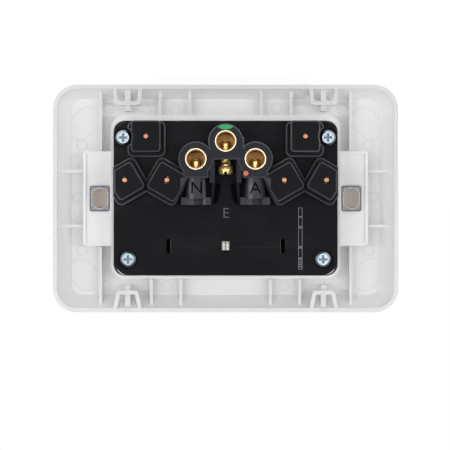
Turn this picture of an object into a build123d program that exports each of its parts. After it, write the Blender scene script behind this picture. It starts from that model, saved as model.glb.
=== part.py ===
from build123d import *
import os
from collections import namedtuple
from math import cos, radians, sin

# Double wall socket with two rocker switches, for flat three-pin plugs.
# X runs along the plate and +Z is up on the wall, with the earth slots at the bottom.
# +Y goes into the wall. The origin is in the wall plane, halfway between the two fixing holes.
# All sizes are in millimetres. Depths are values of Y, negative in front of the wall plane.

os.makedirs("parts", exist_ok=True)

# Depth that joined shapes share, and how far a cut runs past the surface it opens
overlap = 0.5
past = 1.0

# Cover plate
plate_length = 115.4
plate_height = 76.0
plate_corner_r = 8.0
cover_front_y = -9.0
cover_floor_thickness = 2.0
rim_thickness = 1.4
lip_depth = 1.0
outer_slope_side = 4.4
outer_slope_low = 3.0
outer_slope_high = 4.3
inner_slope_side = 4.2
inner_slope_low = 2.8
inner_slope_high = 4.1
cover_edge_r = 1.0
rib_thickness = 1.0
rib_top_y = -2.6
corner_rib_x = 42.0
low_rib_x = (12.0, 22.0)
high_rib_x = (15.0, 24.9)
side_rib_z = 9.2
snap_x = 32.8
snap_wall = 1.3
snap_web = 1.8
snap_low_width = (6.4, 7.2)
snap_low_depth = 4.1
snap_high_width = (5.0, 6.9)
snap_high_depth = 4.6
snap_web_reach = 3.2
snap_top_y = -1.8
pry_notch_depth = 0.7
ejector_r = 1.7
ejector_depth = 0.2
ejector_places = ((17.3, -30.5), (39.4, -30.5), (40.4, 29.4), (19.8, 29.4))
end_ejector_places = ((2.1, -0.6), (3.6, -18.3), (3.6, 17.5))
corner_pad_r = 4.2
corner_pad_length = 3.6
corner_pad_depth = 0.25
corner_pad_places = ((4.1, -25.5, 45), (4.1, 25.7, -45))

# Front housing, the white piece that the cover snaps round
panel_front_y = -9.5
panel_thickness = 2.0
panel_edge_r = 0.4
window_gap = 0.3
band_wall = 0.9
band_low_z = -27.9
band_high_z = 26.7
band_corner_r = 4.6
band_ledge = 0.9
band_rear_y = 1.0
ear_end_reach = 5.6
ear_half_height = 15.8
ear_front_y = -3.5
ear_border = 1.0
ear_field_depth = 0.7
ear_corner_r = 1.2
boss_r = 1.95

# Wall fixing
fixing_centres = 84.0
fixing_head_r = 3.7
insert_width = 6.5
insert_height = 8.4
insert_thickness = 1.5
insert_clearance = 0.1
insert_hole_r = 3.275
insert_hole_flats = 5.1
insert_corner_r = 0.6

# Socket geometry
socket_x = 26.0
socket_z = -9.75
pin_offset_x = 6.86
pin_offset_z = 3.96
earth_offset_z = -10.31
pin_slant = 30.0
blade_width = 6.35
blade_thickness = 1.63
slot_clearance = 0.3
guide_wall = 1.0
guide_rear_y = -4.6

# Base, the black rear half
base_end_reach = 4.14
base_low_z = -25.3
base_high_z = 25.4
base_corner_r = 5.2
base_rear_y = 5.0
base_wall = 1.5
base_side_wall = 1.0
base_front_y = -1.5
base_band_gap = 0.3
base_band_gap_low = 0.6
tier_y = 8.5
box_rear_y = 13.0
box_wall = 1.2
slant_box_low = 4.5
slant_box_high = 5.3
slant_box_half = 4.8
inboard_reach = 5.7
earth_box_half = 4.85
earth_box_low = 5.14
earth_box_high = 5.16
tier_step = 1.4
box_corner_r = 1.2
tier_corner_r = 2.0
box_edge = 0.45
box_side_inset = 0.7
dot_hole_r = 1.1
vent_z = 15.8
vent_height = 4.5
vent_centre_width = 3.0
vent_side_width = 1.5
vent_side_x = 18.8
vent_side_depth = 1.0

# Base screws
low_screw_inset = 3.2
low_screw_z = -20.0
high_screw_inset = 4.8
high_screw_z = 20.2
screw_head_r = 2.5
screw_head_height = 1.7
screw_head_edge = 0.6
screw_shank_r = 1.4
screw_length = 8.5
screw_recess_r = 3.3
screw_recess_depth = 0.8
screw_hole_gap = 0.15
thread_gap = 0.05
thread_room = 0.5
cross_width = 0.8
cross_length = 2.8
cross_depth = 1.1

# Terminals
terminal_rear_y = 13.0
earth_terminal_z = -18.5
side_terminal_x = 9.7
side_terminal_z = -12.65
tube_r = 3.45
tube_bore_r = 2.8
tube_gap = 0.05
neck_r = 2.6
neck_length = 2.05
lobe_r = 5.7
turret_foot_z = -6.5
turret_foot_half = 4.1
turret_chamfer = 0.4
bridge_half = 5.5
bridge_step_x = 6.0
bridge_step_low_z = -19.8
pocket_half = 3.55
pocket_low_z = -12.5
pocket_high_z = -4.9
pocket_wall = 1.65
pocket_wall_rear_y = 12.3
clamp_axis_y = 8.2
clamp_shank_r = 1.7
clamp_running_gap = 0.05
clamp_tip_reach = 3.0
clamp_shank_length = 8.4
clamp_tip_chamfer = 0.5
clamp_head_r = 2.4
clamp_head_height = 2.6
clamp_head_gap = 0.25
clamp_head_edge = 0.5
clamp_slot_width = 0.8
clamp_slot_depth = 1.0
shroud_r = (3.15, 3.4)
shroud_high_z = 0.3
collar_half = 4.9
collar_high_z = 2.2
collar_rear_y = 9.6
trough_half = 4.6
trough_high_z = 1.7
trough_r = (3.3, 4.3)

# Strips and contacts inside
strip_thickness = 0.8
strip_width = 3.2
front_level_y = 0.9
disc_r = 4.2
pad_start = 3.4
pad_length = 3.8
pad_width = 5.0
earth_strip_width = 4.0
supply_strip_x = 8.6
neutral_run_z = 2.5
neutral_run_width = 3.0
load_run_z = 21.8
load_run_width = 3.8
load_leg_half = 1.8
left_run_z = 6.2
left_run_width = 3.6
left_leg_x = 27.9
left_leg_width = 2.6
post_r = 1.1
leaf_thickness = 0.6
leaf_width = 5.0
leaf_grip = 1.5
leaf_grip_y = 5.0
leaf_wide = 1.7
leaf_wide_y = 8.6
leaf_bend_y = 11.2
leaf_bend_r = 1.5
leaf_mouth = 1.8
leaf_mouth_y = 1.6
leaf_foot = 6.3
leaf_foot_r = 0.7

# Switches
switch_x = 9.4
switch_z = 15.8
window_half_width = 6.0
window_half_height = 9.15
rocker_side_gap = 0.3
rocker_end_gap = 0.1
rocker_pivot_y = -7.0
rocker_tilt = 7.0
rocker_crest = 3.6
rocker_valley = 2.4
rocker_skirt = 1.8
rocker_roof = 1.3
rocker_wall = 1.2
rocker_edge_r = 0.4
pivot_pin_r = 1.2
pivot_gap = 0.05
cheek_gap = 0.35
cheek_wall = 1.2
cheek_half_height = 3.0
cheek_rear_y = -4.2
pivot_pin_reach = 7.25
guide_r = 2.5
guide_reach = 3.4
plunger_r = 1.35
plunger_gap = 0.1
plunger_start = 1.8
plunger_reach = 5.6
spring_r = 1.0
spring_wire_r = 0.22
spring_wire_sides = 6
spring_turns = 3
spring_end_gap = 0.05
seesaw_pivot_y = -0.3
seesaw_half_length = 7.2
seesaw_width = 4.0
seesaw_edge_r = 0.8
cradle_r = 0.4
cradle_gap = 0.05
cradle_width = 4.4
rivet_z = 6.0
rivet_r = 1.4
rivet_edge = 0.3
rivet_crown = 0.6
rivet_shank_r = 0.7
rivet_gap = 0.03
fixed_face_y = 1.3

# Sizes that follow
fixing_x = fixing_centres / 2
ear_reach = fixing_x + ear_end_reach
base_half_length = socket_x + pin_offset_x + base_end_reach
band_half_length = base_half_length + base_band_gap + band_wall
low_screw_x = base_half_length - low_screw_inset
high_screw_x = base_half_length - high_screw_inset
cover_floor_y = cover_front_y + cover_floor_thickness
panel_rear_y = panel_front_y + panel_thickness
panel_half_length = band_half_length - band_ledge
panel_low_z = band_low_z + band_ledge
panel_high_z = band_high_z - band_ledge
base_floor_y = base_rear_y - base_wall
rear_level_y = base_floor_y - strip_thickness
box_floor_y = box_rear_y - box_wall
insert_front_y = -insert_thickness
neck_half_gap = neck_r + tube_gap

Pin = namedtuple("Pin", "name x z turn lean foot_y")
Terminal = namedtuple("Terminal", "name x z front_y")


def pins():
    """The six places where a plug pin goes in. A strip lies on the lean side of each."""
    found = []
    for side, x, lean in (("left", -socket_x, 1), ("right", socket_x, -1)):
        pin_z = socket_z + pin_offset_z
        rear = rear_level_y
        found.append(Pin("active_contact_" + side, x - pin_offset_x, pin_z, -pin_slant, lean, rear))
        found.append(Pin("neutral_contact_" + side, x + pin_offset_x, pin_z, pin_slant, lean, front_level_y))
        found.append(Pin("earth_contact_" + side, x, socket_z + earth_offset_z, 0.0, lean, rear))
    return found


def terminals():
    """The three wire terminals, with the depth where each tube meets its strip."""
    return [
        Terminal("neutral", -side_terminal_x, side_terminal_z, front_level_y + strip_thickness),
        Terminal("active", side_terminal_x, side_terminal_z, base_floor_y),
        Terminal("earth", 0.0, earth_terminal_z, base_floor_y),
    ]


def base_screw_places():
    return {
        "low_left": (-low_screw_x, low_screw_z),
        "low_right": (low_screw_x, low_screw_z),
        "high_left": (-high_screw_x, high_screw_z),
        "high_right": (high_screw_x, high_screw_z),
    }


def wall_plane(y):
    """A plane parallel to the wall, drawn in X and Z, with its normal towards the room."""
    return Plane(origin=(0, y, 0), x_dir=(1, 0, 0), z_dir=(0, -1, 0))


def slab(sketch, y_front, y_rear):
    return extrude(wall_plane(y_rear) * sketch, y_rear - y_front)


def rect(x_low, x_high, z_low, z_high, radius=0.0):
    """A rectangle in X and Z, with its corners rounded if a radius is given."""
    width = x_high - x_low
    height = z_high - z_low
    shape = RectangleRounded(width, height, radius) if radius else Rectangle(width, height)
    return Pos((x_low + x_high) / 2, (z_low + z_high) / 2) * shape


def disc(x, z, radius):
    return Pos(x, z) * Circle(radius)


def side_plane(x, y, z):
    """A plane with its normal along the plate, drawn in Y and Z."""
    return Plane(origin=(x, y, z), x_dir=(0, 1, 0), z_dir=(1, 0, 0))


def rod_x(radius, x_low, x_high, y, z):
    return extrude(side_plane(x_low, y, z) * Circle(radius), x_high - x_low)


def level_plane(x, y, z):
    """A plane with its normal up the wall, drawn in X and Y."""
    return Plane(origin=(x, y, z), x_dir=(1, 0, 0), z_dir=(0, 0, 1))


def rod_z(radius, z_low, z_high, x, y):
    return extrude(level_plane(x, y, z_low) * Circle(radius), z_high - z_low)


def block(x_low, x_high, y_low, y_high, z_low, z_high):
    size = Box(x_high - x_low, y_high - y_low, z_high - z_low)
    return Pos((x_low + x_high) / 2, (y_low + y_high) / 2, (z_low + z_high) / 2) * size


def at_pin(pin, shape):
    """Place a sketch drawn across and along a blade at that blade's slot."""
    return Pos(pin.x, pin.z) * Rot(0, 0, pin.turn) * shape


def rear_edges_cut(solid, length):
    return chamfer(solid.edges().group_by(Axis.Y)[-1], length)


def save(solid, name):
    export_step(solid, f"parts/{name}.step")


def plate_outline(y, inset_side, inset_low, inset_high, radius):
    """The plate's rounded outline at a depth, drawn in from its edges."""
    half = plate_length / 2 - inset_side
    low = -plate_height / 2 + inset_low
    high = plate_height / 2 - inset_high
    return wall_plane(y) * rect(-half, half, low, high, radius)


def snap_pocket(x, edge, widths, depth):
    """A walled pocket at the plate's edge, with a web down its middle. edge is -1 or 1."""
    rim_z = plate_height / 2 - rim_thickness
    narrow, wide = widths
    inner_z = rim_z - depth
    corners = [(-wide / 2, rim_z), (wide / 2, rim_z), (narrow / 2, inner_z), (-narrow / 2, inner_z)]
    inner = Polygon(*corners, align=None)
    outer = offset(inner, snap_wall, kind=Kind.ARC)
    ring = outer - inner
    web = rect(-snap_web / 2, snap_web / 2, inner_z - snap_web_reach, rim_z + rim_thickness / 2)
    place = Pos(x, 0) * Rot(0, 0, 0 if edge > 0 else 180)
    root_y = cover_floor_y - cover_floor_thickness / 2
    return slab(place * ring, root_y, snap_top_y) + slab(place * web, root_y, snap_top_y)


def make_cover():
    outer_front = plate_outline(
        cover_front_y, outer_slope_side, outer_slope_low, outer_slope_high, plate_corner_r - outer_slope_low
    )
    outer_lip = plate_outline(-lip_depth, 0, 0, 0, plate_corner_r)
    shell = loft([outer_lip.face(), outer_front.face()])
    shell = fillet(shell.edges().group_by(Axis.Y)[0], cover_edge_r)
    whole = shell + extrude(plate_outline(0, 0, 0, 0, plate_corner_r), lip_depth)
    rim_r = plate_corner_r - rim_thickness
    floor_half = plate_length / 2 - rim_thickness - inner_slope_side
    floor_low = -plate_height / 2 + rim_thickness + inner_slope_low
    floor_high = plate_height / 2 - rim_thickness - inner_slope_high
    floor_outline = rect(-floor_half, floor_half, floor_low, floor_high, rim_r - inner_slope_low)
    inner_lip = plate_outline(-lip_depth, rim_thickness, rim_thickness, rim_thickness, rim_r)
    hollow = loft([inner_lip.face(), (wall_plane(cover_floor_y) * floor_outline).face()])
    hollow += extrude(plate_outline(0, rim_thickness, rim_thickness, rim_thickness, rim_r), lip_depth)
    panel = rect(
        -panel_half_length - window_gap,
        panel_half_length + window_gap,
        panel_low_z - window_gap,
        panel_high_z + window_gap,
        band_corner_r,
    )
    cover = whole - hollow
    half = rib_thickness / 2
    low_rim = -plate_height / 2 + rim_thickness / 2
    high_rim = plate_height / 2 - rim_thickness / 2
    side_rim = plate_length / 2 - rim_thickness / 2
    ribs = Sketch()
    for sign in (-1, 1):
        x = sign * corner_rib_x
        ribs += rect(x - half, x + half, low_rim, -ear_half_height - window_gap)
        ribs += rect(x - half, x + half, ear_half_height + window_gap, high_rim)
        for rib_x in low_rib_x:
            ribs += rect(sign * rib_x - half, sign * rib_x + half, low_rim, band_low_z - window_gap)
        for rib_x in high_rib_x:
            ribs += rect(sign * rib_x - half, sign * rib_x + half, band_high_z + window_gap, high_rim)
        for z in (-side_rib_z, side_rib_z):
            inner, outer = sorted((sign * (ear_reach + window_gap), sign * side_rim))
            ribs += rect(inner, outer, z - half, z + half)
    reinforcement = slab(ribs, cover_floor_y - cover_floor_thickness / 2, rib_top_y)
    for sign in (-1, 1):
        reinforcement += snap_pocket(sign * snap_x, -1, snap_low_width, snap_low_depth)
        reinforcement += snap_pocket(sign * snap_x, 1, snap_high_width, snap_high_depth)
    band_room = rect(
        -band_half_length - window_gap,
        band_half_length + window_gap,
        band_low_z - window_gap,
        band_high_z + window_gap,
    )
    reinforcement -= slab(band_room, cover_floor_y, 0)
    cover += reinforcement & whole
    cover -= slab(panel, cover_front_y - past, cover_floor_y + past)
    for sign in (-1, 1):
        x = sign * snap_x
        notch = rect(x - snap_web / 2, x + snap_web / 2, high_rim - rim_thickness, plate_height / 2 + past)
        cover -= slab(notch, -pry_notch_depth, past)
        marks = list(ejector_places)
        marks += [(floor_half - from_end, z) for from_end, z in end_ejector_places]
        for mark_x, z in marks:
            mark = disc(sign * mark_x, z, ejector_r) & floor_outline
            cover -= slab(mark, cover_floor_y - ejector_depth, cover_floor_y + ejector_depth)
        for from_end, z, turn in corner_pad_places:
            pad = SlotCenterToCenter(corner_pad_length, 2 * corner_pad_r)
            pad = Pos(sign * (floor_half - from_end), z) * Rot(0, 0, sign * turn) * pad & floor_outline
            cover -= slab(pad, cover_floor_y - corner_pad_depth, cover_floor_y + corner_pad_depth)
    save(cover, "cover_plate")


def make_front_housing():
    panel = rect(-panel_half_length, panel_half_length, panel_low_z, panel_high_z, band_corner_r - window_gap)
    band = rect(-band_half_length, band_half_length, band_low_z, band_high_z, band_corner_r)
    inner = rect(
        -base_half_length - base_band_gap,
        base_half_length + base_band_gap,
        base_low_z - base_band_gap_low,
        base_high_z + base_band_gap,
        band_corner_r - band_ledge,
    )
    front = slab(panel, panel_front_y, cover_floor_y + overlap)
    front = fillet(front.edges().group_by(Axis.Y)[0], panel_edge_r)
    housing = front + slab(band, cover_floor_y, band_rear_y) - slab(inner, panel_rear_y, band_rear_y)
    for sign in (-1, 1):
        inner_x, outer_x = sorted((sign * (base_half_length + base_band_gap), sign * ear_reach))
        ear = rect(inner_x, outer_x, -ear_half_height, ear_half_height)
        plate = slab(ear, ear_front_y, 0)
        corners = plate.edges().filter_by(Axis.Y).sort_by(Axis.X)
        plate = fillet(corners[-2:] if sign > 0 else corners[:2], ear_corner_r)
        low, high = sorted((sign * (band_half_length + ear_border), sign * (ear_reach - ear_border)))
        field = rect(low, high, -ear_half_height + ear_border, ear_half_height - ear_border)
        plate -= slab(field, -ear_field_depth, past)
        x = sign * fixing_x
        pocket = rect(
            x - insert_width / 2 - insert_clearance,
            x + insert_width / 2 + insert_clearance,
            -insert_height / 2 - insert_clearance,
            insert_height / 2 + insert_clearance,
            insert_corner_r + insert_clearance,
        )
        plate -= slab(pocket, insert_front_y, past)
        plate -= slab(disc(x, 0, fixing_head_r), ear_front_y - past, insert_front_y)
        housing += plate - slab(inner, panel_rear_y, band_rear_y)
    for pin in pins():
        slot_size = (blade_thickness + 2 * slot_clearance, blade_width + 2 * slot_clearance)
        guide = at_pin(pin, Rectangle(slot_size[0] + 2 * guide_wall, slot_size[1] + 2 * guide_wall))
        housing += slab(guide, panel_rear_y - panel_thickness / 2, guide_rear_y)
    for pin in pins():
        slot = at_pin(pin, Rectangle(blade_thickness + 2 * slot_clearance, blade_width + 2 * slot_clearance))
        housing -= slab(slot, panel_front_y - past, guide_rear_y + past)
    for sign in (-1, 1):
        x = sign * switch_x
        window = rect(
            x - window_half_width,
            x + window_half_width,
            switch_z - window_half_height,
            switch_z + window_half_height,
        )
        housing -= slab(window, panel_front_y - past, panel_rear_y + past)
        for side in (-1, 1):
            near = x + side * (window_half_width - rocker_side_gap + cheek_gap)
            far = near + side * cheek_wall
            low, high = sorted((near, far))
            bottom = switch_z - cheek_half_height
            top = switch_z + cheek_half_height
            housing += block(low, high, panel_rear_y - overlap, cheek_rear_y, bottom, top)
        reach = pivot_pin_reach + pivot_gap
        housing -= rod_x(pivot_pin_r + pivot_gap, x - reach, x + reach, rocker_pivot_y, switch_z)
    for x, z in base_screw_places().values():
        housing += slab(disc(x, z, boss_r), panel_rear_y - overlap, base_floor_y)
        thread_end_y = base_rear_y - screw_recess_depth - screw_length - thread_room
        housing -= slab(disc(x, z, screw_shank_r + thread_gap), thread_end_y, base_floor_y + past)
    save(housing, "front_housing")


def box_extent(pin):
    """How far a pin's box reaches across the blade, and along it each way."""
    if pin.turn:
        return slant_box_half, slant_box_low, slant_box_high
    return earth_box_half, earth_box_low, earth_box_high


def box_shape(pin, grow, radius):
    """A box's outline, grown outwards but not past the base's low edge."""
    half, low, high = box_extent(pin)
    low += grow if pin.turn else min(grow, pin.z - base_low_z - low)
    high += grow
    return at_pin(pin, Pos(0, (high - low) / 2) * RectangleRounded(2 * (half + grow), low + high, radius))


def inboard_end(pin):
    """The longer end of a slanted box, on the side of the plate's middle."""
    low, high = box_extent(pin)[1:]
    length = inboard_reach + box_corner_r
    inward = 1 if pin.x < 0 else -1
    middle = Pos(inward * (inboard_reach - length / 2), (high - low) / 2)
    return at_pin(pin, middle * RectangleRounded(length, low + high, box_corner_r))


def base_outline(inset, radius):
    return rect(
        -base_half_length + inset, base_half_length - inset, base_low_z + inset, base_high_z - inset, radius
    )


def make_contact_boxes():
    """The six chambers behind the slots, each a stepped box with a hole at its middle."""
    screws = Sketch()
    for x, z in base_screw_places().values():
        screws += disc(x, z, screw_recess_r)
    boxes = Part()
    for pin in pins():
        lower = (box_shape(pin, tier_step, tier_corner_r) & base_outline(0, base_corner_r)) - screws
        boxes += rear_edges_cut(slab(lower, base_floor_y, tier_y), box_edge)
    for pin in pins():
        side_inset = box_side_inset if pin.turn else 0
        shape = box_shape(pin, 0, box_corner_r)
        if pin.turn and abs(pin.x) < socket_x:
            shape += inboard_end(pin)
        upper = (shape & base_outline(side_inset, base_corner_r)) - screws
        boxes += rear_edges_cut(slab(upper, tier_y - past, box_rear_y), box_edge)
    return boxes


def make_turret():
    """The raised block that carries the three wire terminals."""
    shape = Sketch()
    for terminal in terminals():
        shape += disc(terminal.x, terminal.z, lobe_r)
        if terminal.x:
            shape += rect(
                terminal.x - turret_foot_half, terminal.x + turret_foot_half, terminal.z, turret_foot_z
            )
    shape += rect(-bridge_half, bridge_half, earth_terminal_z, pocket_low_z)
    shape += rect(0, bridge_step_x, bridge_step_low_z, pocket_low_z)
    shape -= rect(-pocket_half, pocket_half, pocket_low_z, turret_foot_z + past)
    turret = slab(shape, base_floor_y, terminal_rear_y)
    turret = rear_edges_cut(turret, turret_chamfer)
    for sign in (-1, 1):
        near, far = sorted((sign * pocket_half, sign * (pocket_half + pocket_wall)))
        turret += block(near, far, base_floor_y, pocket_wall_rear_y, pocket_low_z - past, pocket_high_z)
        x = sign * side_terminal_x
        bottom = turret_foot_z - past
        narrow, wide = shroud_r
        sleeve_foot = level_plane(x, clamp_axis_y, bottom) * Circle(narrow)
        sleeve_mouth = level_plane(x, clamp_axis_y, shroud_high_z) * Circle(wide)
        turret += loft([sleeve_foot.face(), sleeve_mouth.face()])
        corners = [(-narrow, bottom), (narrow, bottom), (wide, shroud_high_z), (-wide, shroud_high_z)]
        turret += slab(Pos(x, 0) * Polygon(*corners, align=None), base_floor_y, clamp_axis_y)
        bottom = shroud_high_z - overlap
        turret += block(x - collar_half, x + collar_half, base_floor_y, collar_rear_y, bottom, collar_high_z)
    bottom = pocket_high_z - overlap
    turret += block(-trough_half, trough_half, base_floor_y, clamp_axis_y, bottom, trough_high_z)
    trough = level_plane(0, clamp_axis_y, pocket_high_z) * Circle(trough_r[0])
    mouth = level_plane(0, clamp_axis_y, trough_high_z + past) * Circle(trough_r[1])
    turret -= loft([trough.face(), mouth.face()])
    top = terminal_rear_y + past
    turret -= block(-pocket_half, pocket_half, base_rear_y, top, pocket_low_z, pocket_high_z)
    return turret


def make_base():
    base = slab(base_outline(0, base_corner_r), base_front_y, base_rear_y)
    base += make_contact_boxes() + make_turret()
    inner_outline = base_outline(base_side_wall, base_corner_r - base_side_wall)
    base -= slab(inner_outline, base_front_y - past, base_floor_y)
    for pin in pins():
        half, low, high = box_extent(pin)
        room = Pos(0, (high - low) / 2) * Rectangle(2 * (half - box_wall), low + high - 2 * box_wall)
        room = at_pin(pin, room) & inner_outline
        base -= slab(room, base_floor_y - past, box_floor_y)
        base -= slab(disc(pin.x, pin.z, dot_hole_r), box_floor_y - past, box_rear_y + past)
    for terminal in terminals():
        x, z = terminal.x, terminal.z
        base -= slab(disc(x, z, tube_r + tube_gap), base_floor_y - past, terminal_rear_y + past)
        neck_end_z = z + tube_r + neck_length + tube_gap
        base -= block(x - neck_half_gap, x + neck_half_gap, base_floor_y - past, clamp_axis_y, z, neck_end_z)
        base -= rod_z(neck_half_gap, z, neck_end_z, x, clamp_axis_y)
        base -= rod_z(clamp_shank_r + clamp_head_gap, z, pocket_high_z, x, clamp_axis_y)
        if x:
            base -= rod_z(clamp_head_r + clamp_head_gap, neck_end_z, collar_high_z + past, x, clamp_axis_y)
    vent_low = vent_z - vent_height / 2
    vent_high = vent_z + vent_height / 2
    vent = rect(-vent_centre_width / 2, vent_centre_width / 2, vent_low, vent_high)
    base -= slab(vent, base_floor_y - past, base_rear_y + past)
    for x in (-vent_side_x, vent_side_x):
        recess = rect(x - vent_side_width / 2, x + vent_side_width / 2, vent_low, vent_high)
        base -= slab(recess, base_rear_y - vent_side_depth, base_rear_y + past)
    for x, z in base_screw_places().values():
        base -= slab(disc(x, z, screw_recess_r), base_rear_y - screw_recess_depth, base_rear_y + past)
        base -= slab(disc(x, z, screw_shank_r + screw_hole_gap), base_floor_y - past, base_rear_y + past)
    for x, z in neutral_posts():
        base += slab(disc(x, z, post_r), front_level_y + strip_thickness, base_floor_y + overlap)
    save(base, "rear_base")


def make_inserts():
    for sign, side in ((-1, "left"), (1, "right")):
        x = sign * fixing_x
        plate = rect(
            x - insert_width / 2,
            x + insert_width / 2,
            -insert_height / 2,
            insert_height / 2,
            insert_corner_r,
        )
        half = insert_hole_flats / 2
        flats = rect(x - half, x + half, -insert_height / 2, insert_height / 2)
        hole = disc(x, 0, insert_hole_r) & flats
        save(slab(plate - hole, insert_front_y, 0), "fixing_insert_" + side)


def make_base_screws():
    seat_y = base_rear_y - screw_recess_depth
    for name, (x, z) in base_screw_places().items():
        head = slab(disc(x, z, screw_head_r), seat_y, seat_y + screw_head_height)
        head = rear_edges_cut(head, screw_head_edge)
        screw = head + slab(disc(x, z, screw_shank_r), seat_y - screw_length, seat_y)
        half = cross_width / 2
        cross = rect(x - cross_length / 2, x + cross_length / 2, z - half, z + half)
        cross += rect(x - half, x + half, z - cross_length / 2, z + cross_length / 2)
        rear_y = seat_y + screw_head_height
        screw -= slab(cross, rear_y - cross_depth, rear_y + past)
        save(screw, "base_screw_" + name)


def make_terminals():
    for terminal in terminals():
        x, z = terminal.x, terminal.z
        tube = slab(disc(x, z, tube_r), terminal.front_y, terminal_rear_y)
        tube += rod_z(neck_r, z, z + tube_r + neck_length, x, clamp_axis_y)
        tube -= slab(disc(x, z, tube_bore_r), terminal.front_y - past, terminal_rear_y + past)
        tube -= rod_z(clamp_shank_r + clamp_running_gap, z, z + tube_r + neck_length + past, x, clamp_axis_y)
        tube = tube.solids().sort_by(SortBy.VOLUME)[-1]
        save(tube, "terminal_" + terminal.name)
        tip_z = z + tube_bore_r - clamp_tip_reach
        head_z = tip_z + clamp_shank_length
        end_z = head_z + clamp_head_height
        screw = rod_z(clamp_shank_r, tip_z, head_z, x, clamp_axis_y)
        screw = chamfer(screw.edges().group_by(Axis.Z)[0], clamp_tip_chamfer)
        head = rod_z(clamp_head_r, head_z, end_z, x, clamp_axis_y)
        head = chamfer(head.edges().group_by(Axis.Z)[-1], clamp_head_edge)
        screw += head
        half = clamp_slot_width / 2
        arm = clamp_head_r / 2
        reach = clamp_head_r + past
        slot = Rectangle(2 * half, 2 * reach) + Rectangle(2 * arm, 2 * half)
        slot_plane = level_plane(x, clamp_axis_y, end_z - clamp_slot_depth)
        screw -= extrude(slot_plane * slot, clamp_slot_depth + past)
        save(screw, "terminal_screw_" + terminal.name)


def contact_pad(pin):
    """The part of a strip that a contact's foot lies on."""
    return at_pin(pin, Pos(pin.lean * (pad_start + pad_length / 2), 0) * Rectangle(pad_length, pad_width))


def pin_named(name):
    return next(pin for pin in pins() if pin.name == name)


def pad_centre(pin):
    reach = pin.lean * (pad_start + pad_length / 2)
    return pin.x + reach * cos(radians(pin.turn)), pin.z + reach * sin(radians(pin.turn))


def neutral_posts():
    """Where pillars of the base hold up the neutral strip, clear of the strips behind it."""
    left = pad_centre(pin_named("neutral_contact_left"))
    right = pad_centre(pin_named("neutral_contact_right"))
    return [left, right, (0.0, neutral_run_z), ((vent_side_x + left_leg_x) / 2, neutral_run_z)]


def make_earth_strip():
    shape = disc(0, earth_terminal_z, disc_r)
    pin = pin_named("earth_contact_right")
    reach = pin.x - pad_start
    shape += rect(-reach, reach, pin.z - earth_strip_width / 2, pin.z + earth_strip_width / 2)
    for side in ("left", "right"):
        shape += contact_pad(pin_named("earth_contact_" + side))
    save(slab(shape, rear_level_y, base_floor_y), "earth_strip")


def make_neutral_strip():
    shape = disc(-side_terminal_x, side_terminal_z, disc_r)
    top = neutral_run_z + neutral_run_width / 2
    shape += rect(
        -supply_strip_x - strip_width / 2, -supply_strip_x + strip_width / 2, side_terminal_z, top
    )
    leg_right = left_leg_x + left_leg_width / 2
    shape += rect(-supply_strip_x - strip_width / 2, leg_right, top - neutral_run_width, top)
    left = pin_named("neutral_contact_left")
    right = pin_named("neutral_contact_right")
    pad_x, pad_z = pad_centre(left)
    shape += rect(pad_x, -supply_strip_x, pad_z - strip_width / 2, pad_z + strip_width / 2)
    pad_x, pad_z = pad_centre(right)
    shape += rect(leg_right - left_leg_width, leg_right, pad_z, top)
    shape += contact_pad(left) + contact_pad(right)
    save(slab(shape, front_level_y, front_level_y + strip_thickness), "neutral_strip")


def make_active_strip():
    shape = disc(side_terminal_x, side_terminal_z, disc_r)
    half = strip_width / 2
    shape += rect(supply_strip_x - half, supply_strip_x + half, side_terminal_z, switch_z)
    reach = switch_x + cradle_width / 2
    shape += rect(-reach, reach, switch_z - half, switch_z + half)
    strip = slab(shape, rear_level_y, base_floor_y)
    for sign in (-1, 1):
        low = sign * switch_x - cradle_width / 2
        high = sign * switch_x + cradle_width / 2
        strip += block(low, high, seesaw_pivot_y, base_floor_y, switch_z - cradle_r, switch_z + cradle_r)
        strip += rod_x(cradle_r, low, high, seesaw_pivot_y, switch_z)
    save(strip, "active_strip")


def make_load_straps():
    low_z = load_run_z - load_run_width / 2
    high_z = load_run_z + load_run_width / 2
    leg = load_leg_half
    inner = switch_x - load_run_width / 2
    hole_r = rivet_shank_r + rivet_gap
    fixed_z = switch_z + rivet_z
    right = pin_named("active_contact_right")
    pad_x, pad_z = pad_centre(right)
    shape = rect(inner, vent_side_x + leg, low_z, high_z)
    shape += rect(vent_side_x - leg, vent_side_x + leg, pad_z + pad_width / 2, high_z)
    pad_top = pad_z + pad_width / 2
    shape += rect(pad_x - pad_length / 2, vent_side_x + leg, pad_top, pad_top + 2 * leg)
    shape += contact_pad(right)
    shape -= disc(switch_x, fixed_z, hole_r)
    save(slab(shape, rear_level_y, base_floor_y), "load_strap_right")
    left = pin_named("active_contact_left")
    pad_x, pad_z = pad_centre(left)
    run_low = left_run_z - left_run_width / 2
    leg_left = -left_leg_x - left_leg_width / 2
    shape = rect(-vent_side_x - leg, -inner, low_z, high_z)
    shape += rect(-vent_side_x - leg, -vent_side_x + leg, run_low, high_z)
    shape += rect(leg_left, -vent_side_x + leg, run_low, run_low + left_run_width)
    shape += rect(leg_left, leg_left + left_leg_width, pad_z, run_low + left_run_width)
    shape += contact_pad(left)
    shape -= disc(-switch_x, fixed_z, hole_r)
    save(slab(shape, rear_level_y, base_floor_y), "load_strap_left")


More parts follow.
